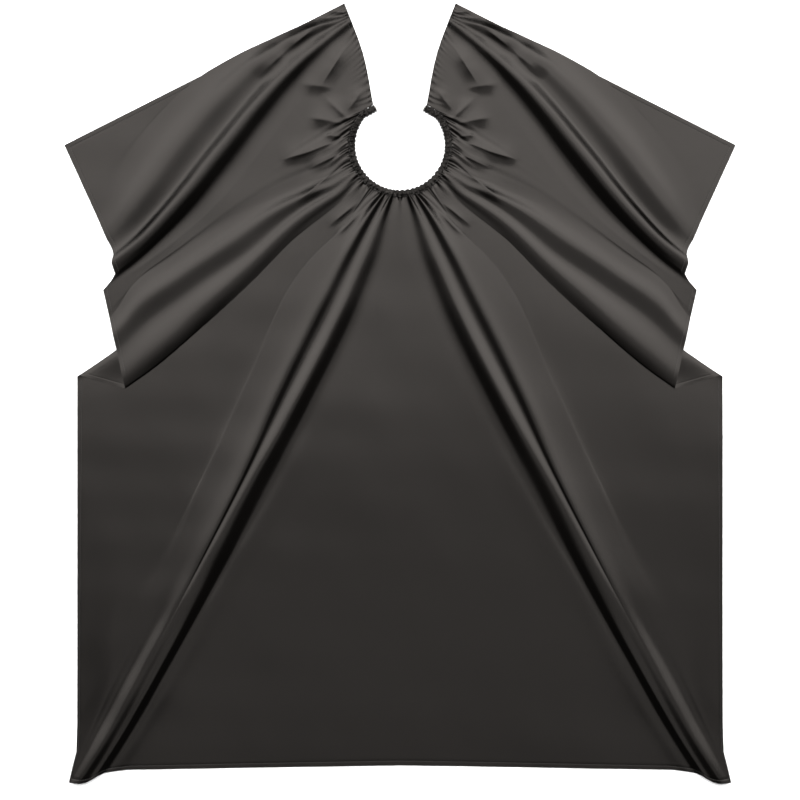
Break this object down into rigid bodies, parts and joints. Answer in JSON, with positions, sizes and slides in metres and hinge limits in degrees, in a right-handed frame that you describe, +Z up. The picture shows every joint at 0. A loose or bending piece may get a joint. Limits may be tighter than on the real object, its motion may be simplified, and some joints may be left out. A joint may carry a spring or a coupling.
{
  "type": "barber cape",
  "caption": "Rectangular salon cape laid flat, slit spread open, with pleated wings, a gathered elastic neck casing and two wire closure hooks.",
  "frame": {"origin": "on the surface the cape lies on, under the middle of its box", "axes": "+Z up from the surface, +Y towards the slit corners, +X to the right of the cape seen from above with the slit at the top"},
  "size_m": [1.208, 1.4, 0.0198],
  "materials": {
    "cape_cloth": "satin polyester twill",
    "casing_cloth": "gathered satin polyester twill",
    "elastic": "braided elastic, matte",
    "seam_thread": "spun polyester thread",
    "tack_thread": "clear nylon thread",
    "hook_wire": "nickel-plated wire"
  },
  "bodies": {
    "cape": {"cape_panel": "cape_cloth", "neck_casing": "casing_cloth", "neck_elastic": "elastic", "casing_seam_outer": "seam_thread", "casing_seam_inner": "seam_thread", "slit_seam_left": "seam_thread", "slit_seam_right": "seam_thread", "top_seam_left": "seam_thread", "top_seam_right": "seam_thread", "wing_seam_left": "seam_thread", "wing_seam_right": "seam_thread", "tier_seam_left": "seam_thread", "tier_seam_right": "seam_thread", "body_seam_left": "seam_thread", "body_seam_right": "seam_thread", "bottom_seam": "seam_thread", "hook_tack_left": "tack_thread", "hook_tack_right": "tack_thread"},
    "hook_left": {"closure_hook_left": "hook_wire"},
    "hook_right": {"closure_hook_right": "hook_wire"}
  },
  "joints": [
    {"name": "hook_left_swing", "type": "hinge", "parent": "cape", "child": "hook_left", "pos_m": [-0.04292, 0.51286, 0.0026], "axis": [0.5, -0.866, 0], "range_deg": [0, 120]},
    {"name": "hook_right_swing", "type": "hinge", "parent": "cape", "child": "hook_right", "pos_m": [0.04292, 0.51286, 0.0026], "axis": [0.5, 0.866, 0], "range_deg": [0, 120]}
  ]
}
